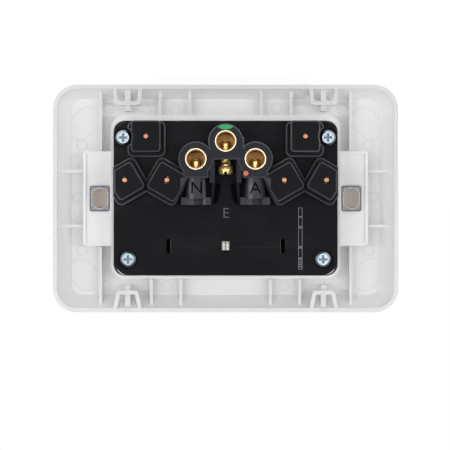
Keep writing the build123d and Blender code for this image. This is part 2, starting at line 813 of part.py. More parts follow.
def make_contact(pin):
    """A strip of bronze folded into a spring clip: a foot on the strip, and two leaves that grip a blade."""
    grip = (leaf_grip + leaf_thickness) / 2
    foot_y = pin.foot_y - leaf_thickness / 2
    points = [
        (leaf_foot, foot_y),
        (leaf_wide, foot_y),
        (grip, leaf_grip_y),
        (leaf_wide, leaf_wide_y),
        (leaf_wide, leaf_bend_y),
        (-leaf_wide, leaf_bend_y),
        (-leaf_wide, leaf_wide_y),
        (-grip, leaf_grip_y),
        (-leaf_mouth, leaf_mouth_y),
    ]
    path = FilletPolyline(
        *[(pin.lean * across, y) for across, y in points],
        radius=[leaf_foot_r, leaf_bend_r, leaf_bend_r, leaf_bend_r, leaf_bend_r, leaf_bend_r, leaf_bend_r],
    )
    ribbon = trace(path, leaf_thickness)
    clip = Pos(0, 0, -leaf_width / 2) * extrude(ribbon, leaf_width)
    save(Pos(pin.x, 0, pin.z) * Rot(0, -pin.turn, 0) * clip, pin.name)


def switch_profile(x, sketch, depth):
    """Extrude a sketch drawn in Y and Z about the rocker's pivot, centred on x."""
    return extrude(side_plane(x - depth / 2, rocker_pivot_y, switch_z) * sketch, depth)


def make_rocker(x, side):
    end_r = window_half_height - rocker_end_gap
    half_width = window_half_width - rocker_side_gap
    tall = end_r + past
    front = Polygon(
        (-rocker_crest, tall),
        (-rocker_valley, 0),
        (-rocker_crest, -tall),
        (rocker_skirt, -tall),
        (rocker_skirt, tall),
        align=None,
    )
    body = switch_profile(x, front & Circle(end_r), 2 * half_width)
    room = Polygon(
        (rocker_roof - rocker_crest, tall),
        (rocker_roof - rocker_valley, 0),
        (rocker_roof - rocker_crest, -tall),
        (rocker_skirt + past, -tall),
        (rocker_skirt + past, tall),
        align=None,
    )
    front_y = rocker_pivot_y - rocker_valley
    face_edges = body.edges().filter_by(lambda edge: edge.center().Y < front_y + overlap)
    body = fillet(face_edges.sort_by(Axis.X)[:2] + face_edges.sort_by(Axis.X)[-2:], rocker_edge_r)
    body -= switch_profile(x, room & Circle(end_r - rocker_wall), 2 * (half_width - rocker_wall))
    roof_y = front_y + rocker_roof
    body += slab(disc(x, switch_z, guide_r), roof_y - rocker_roof / 2, rocker_pivot_y + guide_reach)
    body -= slab(disc(x, switch_z, plunger_r + plunger_gap), roof_y, rocker_pivot_y + guide_reach + past)
    for sign in (-1, 1):
        low, high = sorted((x + sign * (half_width - rocker_wall / 2), x + sign * pivot_pin_reach))
        body += rod_x(pivot_pin_r, low, high, rocker_pivot_y, switch_z)
    plunger_y = rocker_pivot_y + plunger_reach - plunger_r
    start_y = rocker_pivot_y + plunger_start
    plunger = slab(disc(x, switch_z, plunger_r), start_y, plunger_y)
    plunger += Pos(x, plunger_y, switch_z) * Sphere(plunger_r)
    spring_low = roof_y + spring_wire_r + spring_end_gap
    spring_high = start_y - spring_wire_r - spring_end_gap
    height = spring_high - spring_low
    helix = Helix(height / spring_turns, height, spring_r)
    start = Plane(origin=helix @ 0, z_dir=helix % 0)
    coil = sweep(start * RegularPolygon(spring_wire_r, spring_wire_sides), path=helix, is_frenet=True)
    coil = Pos(x, spring_low, switch_z) * Rot(-90, 0, 0) * coil
    pivot = Axis((x, rocker_pivot_y, switch_z), (1, 0, 0))
    save(body.rotate(pivot, -rocker_tilt), "rocker_" + side)
    save(plunger.rotate(pivot, -rocker_tilt), "plunger_" + side)
    save(coil.rotate(pivot, -rocker_tilt), "switch_spring_" + side)


def make_rivet(x, y, z, head, rear):
    """A contact rivet: a shank through its strip and a crowned head. head is -1 towards the room, or 1."""
    crown = rivet_crown - rivet_edge
    crown_r = (rivet_r**2 + crown**2) / (2 * crown)
    dome = Pos(x, y + head * (rivet_crown - crown_r), z) * Sphere(crown_r)
    low, high = sorted((y, y + head * rivet_crown))
    top = slab(disc(x, z, rivet_r), low, high) & dome
    low, high = sorted((y, rear))
    return top + slab(disc(x, z, rivet_shank_r), low, high)


def make_seesaw(x, side):
    half = seesaw_half_length
    shape = rect(
        x - seesaw_width / 2, x + seesaw_width / 2, switch_z - half, switch_z + half, seesaw_edge_r
    )
    shape -= disc(x, switch_z + rivet_z, rivet_shank_r + rivet_gap)
    front_y = seesaw_pivot_y - strip_thickness
    lever = slab(shape, front_y, seesaw_pivot_y)
    reach = seesaw_width
    lever -= rod_x(cradle_r + cradle_gap, x - reach, x + reach, seesaw_pivot_y, switch_z)
    rivet = make_rivet(x, seesaw_pivot_y, switch_z + rivet_z, 1, front_y)
    pivot = Axis((x, seesaw_pivot_y, switch_z), (1, 0, 0))
    save(lever.rotate(pivot, rocker_tilt), "seesaw_" + side)
    save(rivet.rotate(pivot, rocker_tilt), "moving_rivet_" + side)


def make_fixed_rivet(x, side):
    z = switch_z + rivet_z
    head_y = fixed_face_y + rivet_crown
    rivet = make_rivet(x, head_y, z, -1, base_floor_y)
    rivet += slab(disc(x, z, rivet_r), head_y, rear_level_y)
    save(rivet, "fixed_rivet_" + side)


make_cover()
make_front_housing()
make_base()
make_inserts()
make_base_screws()
make_terminals()
make_earth_strip()
make_neutral_strip()
make_active_strip()
make_load_straps()
for place in pins():
    make_contact(place)
for switch_side, sign_x in (("left", -switch_x), ("right", switch_x)):
    make_rocker(sign_x, switch_side)
    make_seesaw(sign_x, switch_side)
    make_fixed_rivet(sign_x, switch_side)
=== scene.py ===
"""Finishes for a double wall socket, seen from behind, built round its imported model."""
import math

import bpy
from bpy.props import FloatProperty, FloatVectorProperty, IntProperty, PointerProperty
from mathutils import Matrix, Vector


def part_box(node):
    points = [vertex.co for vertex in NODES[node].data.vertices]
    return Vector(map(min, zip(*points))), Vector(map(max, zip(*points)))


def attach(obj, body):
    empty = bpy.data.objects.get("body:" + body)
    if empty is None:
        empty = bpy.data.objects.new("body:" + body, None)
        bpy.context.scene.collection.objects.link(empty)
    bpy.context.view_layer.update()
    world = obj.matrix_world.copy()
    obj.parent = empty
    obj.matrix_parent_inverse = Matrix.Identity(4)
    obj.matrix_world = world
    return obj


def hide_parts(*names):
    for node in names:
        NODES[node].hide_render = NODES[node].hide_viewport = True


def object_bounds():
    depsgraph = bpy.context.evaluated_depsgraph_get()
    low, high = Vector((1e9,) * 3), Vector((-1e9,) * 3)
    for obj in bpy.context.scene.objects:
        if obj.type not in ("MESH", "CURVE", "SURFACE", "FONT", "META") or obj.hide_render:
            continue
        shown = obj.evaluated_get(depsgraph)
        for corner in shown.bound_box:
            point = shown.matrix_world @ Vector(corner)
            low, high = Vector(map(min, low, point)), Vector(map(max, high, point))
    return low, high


bl_info = {
    "name": "Double wall socket",
    "version": (1, 0, 0),
    "blender": (4, 5, 0),
    "location": "View3D > Sidebar > Socket",
    "description": "Finishes and small moulded details for a double wall socket",
    "category": "Object",
}

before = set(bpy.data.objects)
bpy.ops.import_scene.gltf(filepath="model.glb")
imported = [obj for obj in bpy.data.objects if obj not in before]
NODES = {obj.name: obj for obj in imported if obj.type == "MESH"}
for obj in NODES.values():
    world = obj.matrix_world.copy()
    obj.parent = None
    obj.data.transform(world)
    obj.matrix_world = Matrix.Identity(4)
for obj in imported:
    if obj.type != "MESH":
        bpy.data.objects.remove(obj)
CAD_BOX = [list(corner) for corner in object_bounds()]

MM = 0.001
SIDES = ("left", "right")
TERMINALS = ("neutral", "active", "earth")
CONTACTS = ("active_contact_", "neutral_contact_", "earth_contact_")
HOUSING = "housing"
BASE_FACE = 5.0 * MM

# Places and radii in millimetres; a pair named _Y or _RING is where a soft step begins and ends
COVER_EDGE_Y = (-0.5, -0.2)
COVER_FLOOR_Y = (-6.5, -6.2)
COVER_RIB_Y = (-6.0, -5.7)
MARKED_FLOOR_Y = (-6.7, -6.5)
HOUSING_BAND_Y = (0.75, 1.2)
BASE_FLAT_Y = (5.05, 5.2)
BASE_RECESS_Y = (4.9, 4.98)
TUBE_MOUTH_Y = (12.9, 12.99)
EJECTOR_RING = (1.5, 1.95)
EJECTOR_PLACES = (
    (17.3, -30.5), (39.4, -30.5), (40.4, 29.4), (19.8, 29.4), (50.0, -0.6), (48.5, -18.3), (48.5, 17.5)
)
PAD_RING = (4.0, 4.35)
PAD_HALF_LENGTH = 1.8
PAD_PLACES = ((48.0, -25.5, 1), (48.0, 25.7, -1))
LADDER_RUNGS_Z = (6.2, 9.4, 9.8, 16.0, 16.4, 19.8, 20.2, 21.0, 21.8, 22.6)

# Places and sizes in metres: name, place, width, height, share of the lamp power
LAMPS = (
    ("lamp_rear_left", (-0.5, 0.9, 0.0), 0.8, 0.08, 1.0),
    ("lamp_rear_right", (0.5, 0.9, 0.0), 0.8, 0.08, 0.9),
    ("lamp_side_left", (-0.8, 0.12, 0.1), 0.5, 0.5, 0.12),
    ("lamp_side_right", (0.8, 0.12, 0.1), 0.5, 0.5, 0.09),
    ("lamp_front_left", (-0.6, -0.5, 0.45), 0.6, 0.6, 0.9),
    ("lamp_front_right", (0.6, -0.5, 0.45), 0.6, 0.6, 0.6),
)

# Linear colours of the metals, in pairs: the clean one, then the tarnished one
STEEL = ((0.19, 0.19, 0.20), (0.12, 0.12, 0.13))
STRIP_BRASS = ((0.35, 0.19, 0.072), (0.27, 0.14, 0.05))
ZINC = ((0.42, 0.49, 0.54), (0.27, 0.33, 0.38))
CONTACT_COPPER = ((0.88, 0.50, 0.33), (0.74, 0.38, 0.24))
TIP_COPPER = ((0.56, 0.30, 0.19), (0.42, 0.21, 0.12))
RIVET_SILVER = ((0.88, 0.88, 0.86), (0.74, 0.74, 0.72))
SPRING_WIRE = ((0.58, 0.58, 0.60), (0.45, 0.45, 0.46))
SCREW_BRASS = ((1.0, 0.78, 0.34), (0.80, 0.53, 0.18))

# Linear colours of single places, or of a pair that a pattern runs between
# Painted shade along the insert's cut edges
STEEL_EDGE_SHADE = (0.05, 0.05, 0.06)
# Painted highlight round the insert's hole
STEEL_LIP_HIGHLIGHT = (0.52, 0.52, 0.52)
# Painted shade, then tin: the pair that the active strip's tinned bands run between
STRIP_SHADE_AND_TIN = ((0.03, 0.03, 0.03), (0.5, 0.49, 0.47))
# Painted shade in the cross of a base screw's head
ZINC_CROSS_SHADE = (0.12, 0.16, 0.19)
# Painted shade: the beige of shaded white plastic seen through the fixing holes
SHADE_BEHIND_FIXING_HOLE = (0.80, 0.72, 0.63)
# Painted highlight along the raised band of the white parts
HOUSING_BAND = (0.90, 0.90, 0.90)
# Painted shade: the dark of the letters' grooves, a pair that a pattern runs between
LETTER_GROOVE_SHADE = ((0.0012, 0.0012, 0.002), (0.003, 0.003, 0.004))


# Shader maths


class Value:
    """A number or colour that varies over a surface, for use in Python sums."""

    def __init__(self, finish, socket):
        self.finish = finish
        self.socket = socket

    def sum_with(self, operation, first, second):
        return self.finish.node("ShaderNodeMath", {"operation": operation}, {0: first, 1: second})

    def __add__(self, other):
        return self.sum_with("ADD", self, other)

    def __radd__(self, other):
        return self.sum_with("ADD", other, self)

    def __sub__(self, other):
        return self.sum_with("SUBTRACT", self, other)

    def __rsub__(self, other):
        return self.sum_with("SUBTRACT", other, self)

    def __mul__(self, other):
        return self.sum_with("MULTIPLY", self, other)

    def __rmul__(self, other):
        return self.sum_with("MULTIPLY", other, self)

    def __abs__(self):
        return self.sum_with("ABSOLUTE", self, 0.0)

    def least(self, other):
        return self.sum_with("MINIMUM", self, other)

    def most(self, other):
        return self.sum_with("MAXIMUM", self, other)

    def power(self, other):
        return self.sum_with("POWER", self, other)

    def step(self, low, high):
        """0 below low, 1 above high, and smooth between them."""
        settings = {"interpolation_type": "SMOOTHSTEP"}
        inputs = {"Value": self, "From Min": low, "From Max": high}
        return self.finish.node("ShaderNodeMapRange", settings, inputs)

    def between(self, low, high, soft):
        """1 between low and high, and 0 outside them, with soft ends."""
        return self.step(low - soft, low + soft) * (1 - self.step(high - soft, high + soft))


class Finish:
    """One material, built up from its nodes."""

    def __init__(self, name, **inputs):
        self.material = bpy.data.materials.new(name)
        self.material.use_nodes = True
        self.tree = self.material.node_tree
        self.tree.nodes.clear()
        self.surface = self.tree.nodes.new("ShaderNodeBsdfPrincipled")
        self.output = self.tree.nodes.new("ShaderNodeOutputMaterial")
        self.tree.links.new(self.surface.outputs[0], self.output.inputs["Surface"])
        self.feed(self.surface, inputs)

    def feed(self, node, inputs):
        for key, value in inputs.items():
            socket = node.inputs[key]
            if isinstance(value, Value):
                self.tree.links.new(value.socket, socket)
            elif socket.type == "RGBA":
                socket.default_value = (*value[:3], 1.0)
            else:
                socket.default_value = value

    def node(self, kind, settings=None, inputs=None, output=0):
        node = self.tree.nodes.new(kind)
        for key, value in (settings or {}).items():
            setattr(node, key, value)
        self.feed(node, inputs or {})
        return Value(self, node.outputs[output])

    def place(self):
        """The point on the surface, in millimetres, as three values."""
        point = self.node("ShaderNodeTexCoord", output="Object")
        scaled = self.node("ShaderNodeVectorMath", {"operation": "SCALE"}, {0: point, "Scale": 1 / MM})
        return self.axes(scaled)

    def outward(self):
        """How far the surface faces out of the wall, from -1 to 1."""
        return self.axes(self.node("ShaderNodeTexCoord", output="Normal"))[1]

    def axes(self, vector):
        split = self.tree.nodes.new("ShaderNodeSeparateXYZ")
        self.tree.links.new(vector.socket, split.inputs[0])
        return [Value(self, socket) for socket in split.outputs]

    def noise(self, scale, detail=3.0, roughness=0.55, stretch=(1.0, 1.0, 1.0)):
        point = self.node("ShaderNodeTexCoord", output="Object")
        placed = self.node("ShaderNodeMapping", inputs={"Vector": point, "Scale": stretch})
        inputs = {"Vector": placed, "Scale": scale, "Detail": detail, "Roughness": roughness}
        return self.node("ShaderNodeTexNoise", inputs=inputs)

    def mix(self, factor, first, second):
        """first where factor is 0, and second where it is 1."""
        return self.node("ShaderNodeMix", {"data_type": "RGBA"}, {0: factor, 6: first, 7: second}, output=2)

    def bump(self, height, distance, strength=1.0):
        inputs = {"Height": height, "Distance": distance, "Strength": strength}
        return self.node("ShaderNodeBump", inputs=inputs)

    def set(self, **inputs):
        names = {key.replace("_", " "): value for key, value in inputs.items()}
        self.feed(self.surface, names)
        return self.material


def shade(colour, factor):
    return tuple(channel * factor for channel in colour)


def distance_from(x, z, centre_x, centre_z):
    return ((x - centre_x).power(2.0) + (z - centre_z).power(2.0)).power(0.5)


def moulding_bump(finish, strength):
    """The fine grain and slow waviness of a moulded face."""
    grain = finish.noise(2600.0, 3.0, 0.6)
    flow = finish.noise(90.0, 2.0, 0.5)
    return finish.bump(grain * 0.35 + flow, 0.00006, strength)


def slot_distance(x, z, centre_x, centre_z, half_length, rise):
    """How far a point is from a short line at 45 degrees. rise is 1 or -1."""
    across = x - centre_x
    up = (z - centre_z) * rise
    along = (across + up) * 0.7071
    beside = (up - across) * 0.7071
    past_end = along - along.most(-half_length).least(half_length)
    return (past_end.power(2.0) + beside.power(2.0)).power(0.5)


def ejector_shade_lines(x, y, z):
    """Painted shade lines round the ejector marks and the corner pads, down on the cover's floor."""
    side = abs(x)
    near = None
    for place in EJECTOR_PLACES:
        away = distance_from(side, z, *place)
        near = away if near is None else near.least(away)
    marks = near.between(*EJECTOR_RING, 0.12)
    for centre_x, centre_z, rise in PAD_PLACES:
        away = slot_distance(side, z, centre_x, centre_z, PAD_HALF_LENGTH, rise)
        marks = marks.most(away.between(*PAD_RING, 0.15))
    return marks * (1 - y.step(*MARKED_FLOOR_Y))


def cover_painted_shading(finish, body, colour, dark, place):
    """Paint light and shade on the cover: lighter slopes, a darker floor, darker flat faces from the rib
    tops up, darker towards the foot, painted shade lines round its marks, and painted shade behind the
    fixing holes.
    """
    x, y, z = place
    facing = finish.outward()
    flat = facing.step(0.9, 0.97)
    inside = 1 - y.step(*COVER_EDGE_Y)
    slope = facing.step(0.3, 0.5) * (1 - flat) * inside
    # Painted light: the sloped faces inside the cover are made lighter than the plain white.
    body = finish.mix(slope, body, shade(colour, 1.07))
    # Painted shade: the cover's flat floor is made darker.
    body = finish.mix(flat * (1 - y.step(*COVER_FLOOR_Y)), body, shade(dark, 0.94))
    # Painted shade: flat faces at rib-top height and above are made darker.
    body = finish.mix(flat * y.step(*COVER_RIB_Y), body, shade(dark, 0.89))
    # Painted shade: the inside of the cover darkens towards its foot at +Z.
    body = finish.mix(z.step(-12.0, 36.0) * inside * 0.6, body, shade(dark, 0.84))
    # Painted shade: dark lines round the ejector marks and corner pads.
    body = finish.mix(ejector_shade_lines(x, y, z) * flat * 0.6, body, shade(dark, 0.78))
    # Painted shade: flat faces seen through the fixing holes are tinted beige.
    hole = distance_from(abs(x), z, centre_of("fixing_insert_right").x / MM, 0.0)
    return finish.mix((1 - hole.step(4.0, 5.0)) * flat, body, SHADE_BEHIND_FIXING_HOLE)


def white_finish(name, colour, dark, gloss, is_cover=False):
    """White moulded plastic, a little darker in places and duller where it has been handled, with a painted
    highlight along the raised band; the cover also gets painted light and shade.
    """
    finish = Finish(name)
    place = finish.place()
    cloud = finish.noise(38.0, 4.0, 0.6).step(0.35, 0.7)
    body = finish.mix(cloud, colour, dark)
    # Painted highlight: the raised band is made lighter.
    body = finish.mix(place[1].between(*HOUSING_BAND_Y, 0.1) * 0.7, body, HOUSING_BAND)
    if is_cover:
        body = cover_painted_shading(finish, body, colour, dark, place)
    rough = gloss + finish.noise(700.0, 4.0).step(0.3, 0.8) * 0.12
    return finish.set(
        Base_Color=body,
        Roughness=rough,
        Specular_IOR_Level=0.35,
        Subsurface_Weight=0.3,
        Subsurface_Radius=(1.0, 1.0, 1.0),
        Subsurface_Scale=0.7 * MM,
        Normal=moulding_bump(finish, 0.3),
    )


def terminal_distance(settings, x, z):
    """How far a point is from the nearest of the three terminals' centres."""
    beside = distance_from(abs(x), z, settings.side_terminal_x, settings.side_terminal_z)
    return beside.least(distance_from(x, z, 0.0, settings.earth_terminal_z))


def base_finish(settings):
    """Black moulded plastic: satin on the flat, glossier on the chambers, greyer on the terminal block, with
    painted highlights on the bevelled edges, along the sleeves and on one wall of each side slot, and
    painted shade in the side slots.
    """
    finish = Finish("black_moulding")
    x, y, z = finish.place()
    side = abs(x)
    block = 1 - terminal_distance(settings, x, z).step(5.7, 5.9)
    feet = side.between(settings.side_terminal_x - 4.2, settings.side_terminal_x + 4.2, 0.05)
    feet = feet * z.between(settings.side_terminal_z, -6.45, 0.05)
    bridge = (1 - side.step(5.5, 5.6)) * z.between(settings.earth_terminal_z, -4.8, 0.05)
    sleeve = side.between(4.7, 14.7, 0.1) * z.between(-6.5, 2.3, 0.05)
    raised = y.step(*BASE_FLAT_Y)
    block = block.most(feet).most(bridge) * raised
    sleeve = sleeve * raised * (1 - block)
    chamber = raised * (1 - block) * (1 - sleeve)
    ridge = side.between(2.9, 16.7, 0.3) * z.between(16.1, 16.5, 0.25) * (1 - raised)
    sunk = 1 - y.step(*BASE_RECESS_Y)
    # Painted shade: the floors of the side slots are made near black.
    recess = side.between(17.9, 19.7, 0.02) * z.between(13.4, 18.2, 0.02) * sunk
    # Painted highlight: a light line on one wall of each side slot.
    lit_side = side.between(17.9, 18.25, 0.03) * z.between(13.5, 18.1, 0.05) * sunk
    between_sleeves = (1 - side.step(4.4, 4.6)) * z.step(-9.0, -8.8)
    # Painted highlight: the bevelled edges of the raised parts, found by how far they face out of the wall.
    edge = finish.outward().between(0.55, 0.85, 0.06) * raised * (1 - sleeve) * (1 - between_sleeves)
    # Painted highlights: light streaks down the sleeves at these places across them, where lamps would
    # glint.
    first = abs(x - (settings.side_terminal_x - 1.6)).least(abs(x + (settings.side_terminal_x + 1.6)))
    second = abs(x + (settings.side_terminal_x - 2.7))
    sleeve_highlight = (1 - first.step(0.25, 1.1)).most((1 - second.step(0.15, 0.7)) * 0.8)
    sleeve_highlight = sleeve_highlight * (0.5 + 0.5 * finish.noise(260.0, 3.0).step(0.35, 0.7))
    worn = finish.noise(60.0, 4.0, 0.65, (0.35, 1.0, 1.0)).step(0.42, 0.75)
    body = finish.mix(worn, settings.base_colour, settings.base_colour_worn)
    body = finish.mix(chamber, body, settings.chamber_colour)
    body = finish.mix(block, body, settings.block_colour)
    body = finish.mix(sleeve, body, settings.sleeve_colour)
    body = finish.mix(sleeve * sleeve_highlight, body, settings.sleeve_highlight_colour)
    body = finish.mix(ridge * 0.3, body, settings.block_colour)
    # Painted highlight on the bevelled edges, stronger where the worn patches are.
    body = finish.mix(edge * (0.45 + 0.55 * worn), body, settings.edge_highlight_colour)
    body = finish.mix(recess, body, shade(settings.base_colour, 0.1))
    body = finish.mix(lit_side, body, settings.edge_highlight_colour)
    speck = finish.noise(1500.0, 3.0).step(0.35, 0.75)
    return finish.set(
        Base_Color=body,
        Roughness=0.5 - chamber * 0.22 - sleeve * 0.2 + speck * 0.1,
        Metallic=recess * (1 - lit_side),
        Specular_IOR_Level=0.09,
        Normal=moulding_bump(finish, 0.5),
    )


def set_metal(finish, body, rough, lines, bump=0.4):
    """Give a metal its colour, and let fine lines rule its roughness and its bump."""
    level = rough + lines.step(0.3, 0.75) * 0.14
    return finish.set(Base_Color=body, Roughness=level, Normal=finish.bump(lines, 0.00003, bump))


def metal_finish(name, colours, rough, bump=0.4, metallic=1.0):
    """A metal with a fine tooling grain and slow patches of tarnish."""
    finish = Finish(name, Metallic=metallic)
    patch = finish.noise(160.0, 4.0, 0.6).step(0.35, 0.7)
    body = finish.mix(patch, *colours)
    return set_metal(finish, body, rough, finish.noise(900.0, 3.0, 0.6), bump)


def insert_finish(fixing_x):
    """Plated sheet steel, with painted shade along its cut edges and a painted highlight round its hole."""
    finish = Finish("insert_steel", Metallic=1.0)
    x, _, z = finish.place()
    across = abs(abs(x) - fixing_x)
    # Painted shade: a dark line along the cut edges, where the gap round the insert is in shade.
    edge = across.step(2.85, 3.1).most(abs(z).step(3.8, 4.05))
    from_hole = distance_from(abs(x), z, fixing_x, 0.0)
    # Painted highlight: a bright lip round the hole.
    lip = (1 - across.step(2.6, 2.8)) * (1 - from_hole.step(3.3, 3.5)) * (1 - edge)
    lines = finish.noise(900.0, 3.0, 0.6, (1.0, 1.0, 6.0))
    body = finish.mix(lines.step(0.3, 0.75), *STEEL)
    body = finish.mix(edge * 0.85, body, STEEL_EDGE_SHADE)
    body = finish.mix(lip * 0.6, body, STEEL_LIP_HIGHLIGHT)
    return set_metal(finish, body, 0.3, lines)


def strip_finish(name, tin_from=None):
    """Rolled brass strip, dull and brown, and tinned above a height where one is given, with painted shade
    beside and between the tinned bands there.
    """
    finish = Finish(name, Metallic=1.0)
    x, _, z = finish.place()
    patch = finish.noise(160.0, 4.0, 0.6).step(0.35, 0.7)
    lines = finish.noise(900.0, 3.0, 0.6, (8.0, 1.0, 1.0))
    body = finish.mix(patch, *STRIP_BRASS)
    if tin_from is not None:
        # Painted shade: above the tinning height the strip is near black beside and between two tinned
        # bands, and the bands darken towards their low end.
        bands = abs(x).between(0.15, 1.1, 0.3) * (1 - z.step(17.0, 17.35))
        bands = bands * (0.45 + 0.55 * z.step(14.2, 15.4))
        tinned = finish.mix(bands * (0.75 + 0.25 * lines.step(0.3, 0.75)), *STRIP_SHADE_AND_TIN)
        body = finish.mix(z.step(tin_from, tin_from + 1.0), body, tinned)
    return set_metal(finish, body, 0.34, lines)


def zinc_finish(places):
    """Bright zinc plate, with painted shade down in the cross of each screw's head."""
    finish = Finish("zinc_plate", Metallic=1.0)
    x, y, z = finish.place()
    side = abs(x)
    near = distance_from(side, z, *places[0]).least(distance_from(side, z, *places[1]))
    # Painted shade: the cross in each screw head is darkened by depth.
    cross = (1 - y.step(5.1, 5.75)) * (1 - near.step(1.5, 1.62))
    patch = finish.noise(160.0, 4.0, 0.6).step(0.35, 0.7)
    body = finish.mix(patch, *ZINC)
    body = finish.mix(cross, body, ZINC_CROSS_SHADE)
    return set_metal(finish, body, 0.3, finish.noise(1100.0, 3.0, 0.6))


def tube_finish(settings):
    """Turned brass: a bright cut face at the mouth, and painted shade in the bore, darkest at its far end.
    """
    finish = Finish("turned_brass", Metallic=1.0)
    x, y, z = finish.place()
    mouth = y.step(*TUBE_MOUTH_Y)
    outer = terminal_distance(settings, x, z).step(3.12, 3.24)
    face = finish.mix(outer, settings.brass_lip_colour, settings.brass_face_colour)
    # Painted shade: the bore is dark, and darker still at its far end.
    bore = finish.mix(y.step(4.0, 12.0), settings.shaded_deep_bore_colour, settings.shaded_bore_colour)
    rings = finish.noise(300.0, 2.0, 0.5, (1.0, 14.0, 1.0))
    body = finish.mix(mouth, bore, face)
    rough = 0.36 - mouth * 0.08 + rings.step(0.3, 0.7) * 0.12
    return finish.set(Base_Color=body, Roughness=rough, Normal=finish.bump(rings, 0.00004, 0.5))


def paint_finish(name, colour):
    """Paint, or a raised mark, a little uneven in tone and gloss."""
    finish = Finish(name)
    patch = finish.noise(900.0, 3.0).step(0.3, 0.75)
    body = finish.mix(patch, colour, shade(colour, 0.86))
    grain = finish.bump(finish.noise(1400.0), 0.00004, 0.4)
    return finish.set(Base_Color=body, Roughness=0.38 + patch * 0.1, Normal=grain)


# Modelling helpers


def clear_selection():
    if bpy.context.object and bpy.context.object.mode != "OBJECT":
        bpy.ops.object.mode_set(mode="OBJECT")
    bpy.ops.object.select_all(action="DESELECT")


def select_only(piece):
    clear_selection()
    piece.select_set(True)
    bpy.context.view_layer.objects.active = piece


def finished(piece, name, material, body):
    """Put a piece's place into its mesh, name it, and let it ride on its body."""
    select_only(piece)
    bpy.ops.object.transform_apply(location=True, rotation=True, scale=True)
    piece.name = name
    piece.data.name = name
    piece.data.materials.clear()
    piece.data.materials.append(material)
    bpy.ops.object.shade_smooth_by_angle(angle=math.radians(32))
    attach(piece, body)
    return piece


def apply_modifier(piece, kind, **settings):
    select_only(piece)
    modifier = piece.modifiers.new(kind.lower(), kind)
    for key, value in settings.items():
        setattr(modifier, key, value)
    bpy.ops.object.modifier_apply(modifier=modifier.name)


def wall_cylinder(x, y_low, y_high, z, radius, vertices=64):
    """A cylinder whose axis points into the wall, from one depth to another, in metres."""
    clear_selection()
    bpy.ops.mesh.primitive_cylinder_add(
        vertices=vertices,
        radius=radius,
        depth=y_high - y_low,
        location=(x, (y_low + y_high) / 2, z),
        rotation=(math.radians(90), 0, 0),
    )
    return bpy.context.object


def dress(names, material):
    for name in names:
        for slot in NODES[name].material_slots:
            slot.material = material


def centre_of(node):
    low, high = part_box(node)
    return (Vector(low) + Vector(high)) / 2


# Settings


def colour_setting(name, description, default):
    return FloatVectorProperty(name=name, description=description, subtype="COLOR", default=default)


class SocketSettings(bpy.types.PropertyGroup):
    """Sizes in millimetres and linear colours that a user would change."""

    side_terminal_x: FloatProperty(
        name="Side terminal X",
        description="How far the side terminals stand from the middle, in mm",
        default=centre_of("terminal_active").x / MM,
    )
    side_terminal_z: FloatProperty(
        name="Side terminal Z",
        description="Height of the side terminals' tubes, in mm",
        default=-12.65,
    )
    earth_terminal_z: FloatProperty(
        name="Earth terminal Z",
        description="Height of the earth terminal's tube, in mm",
        default=-18.5,
    )
    thread_pitch: FloatProperty(
        name="Thread pitch",
        description="Pitch of the clamp screws' thread, in mm",
        default=0.75,
    )
    thread_depth: FloatProperty(
        name="Thread depth",
        description="Depth of the clamp screws' thread, in mm",
        default=0.35,
    )
    letter_height: FloatProperty(
        name="Letter height",
        description="Height of the terminal letters, in mm",
        default=3.5,
    )
    white_colour: colour_setting("White", "Cover plastic", (0.885, 0.875, 0.878))
    # Also the base colour from which the cover's painted shade is made.
    white_colour_dark: colour_setting(
        "White, shaded", "Cover plastic where it is dull", (0.855, 0.845, 0.848)
    )
    housing_colour: colour_setting("Housing", "Front housing plastic", (0.85, 0.85, 0.86))
    base_colour: colour_setting("Base", "Black base plastic", (0.0048, 0.0045, 0.0065))
    base_colour_worn: colour_setting(
        "Base, worn", "Black base plastic where it is rubbed", (0.013, 0.0125, 0.015)
    )
    chamber_colour: colour_setting("Chambers", "Contact chambers", (0.0025, 0.0035, 0.005))
    block_colour: colour_setting("Terminal block", "Rear face of the terminal block", (0.024, 0.0255, 0.032))
    sleeve_colour: colour_setting("Sleeves", "Sleeves over the clamp screws", (0.045, 0.046, 0.055))
    brass_lip_colour: colour_setting("Brass lip", "Inner lip of a terminal tube", (0.24, 0.13, 0.045))
    brass_face_colour: colour_setting("Brass face", "Cut face of a terminal tube", (0.98, 0.82, 0.58))
    # Painted shade: the bore's colours near its mouth and at its far end.
    shaded_bore_colour: colour_setting("Bore", "Bore of a terminal tube near its mouth", (0.34, 0.18, 0.065))
    shaded_deep_bore_colour: colour_setting(
        "Bore, deep", "Bore of a terminal tube at its far end", (0.22, 0.10, 0.034)
    )
    # Painted highlight: the colour of the light streaks down the sleeves.
    sleeve_highlight_colour: colour_setting("Sleeves, streaks", "Rubbed lines along the sleeves", (0.16, 0.165, 0.19))
    # Painted highlight: the colour of the bevelled edges and of the lit slot wall.
    edge_highlight_colour: colour_setting(
        "Base, edges", "Bevelled edges of the base's raised parts", (0.14, 0.14, 0.155)
    )
    raised_mark_colour: colour_setting("Raised marks", "Moulded marks on the base", (0.075, 0.075, 0.088))
    earth_mark_colour: colour_setting("Earth mark", "Green paint", (0.005, 0.38, 0.12))
    active_mark_colour: colour_setting("Active mark", "Red paint", (0.72, 0.13, 0.08))
    floor_colour: colour_setting("Floor", "Floor of the studio", (0.95, 0.95, 0.95))
    lamp_power: FloatProperty(
        name="Lamp power",
        description="Power of the left rear lamp; the others have a share of it",
        default=2.7,
        unit="POWER",
    )
    world_level: FloatProperty(
        name="Light from behind and in front",
        description="Strength of the soft light that faces the plate",
        default=0.92,
    )
    world_side_level: FloatProperty(
        name="Light from the sides",
        description="Strength of the soft light round the plate's edges",
        default=0.12,
    )
    tube_segments: IntProperty(
        name="Round segments", description="Segments round a small turned piece", default=48
    )


# Pieces


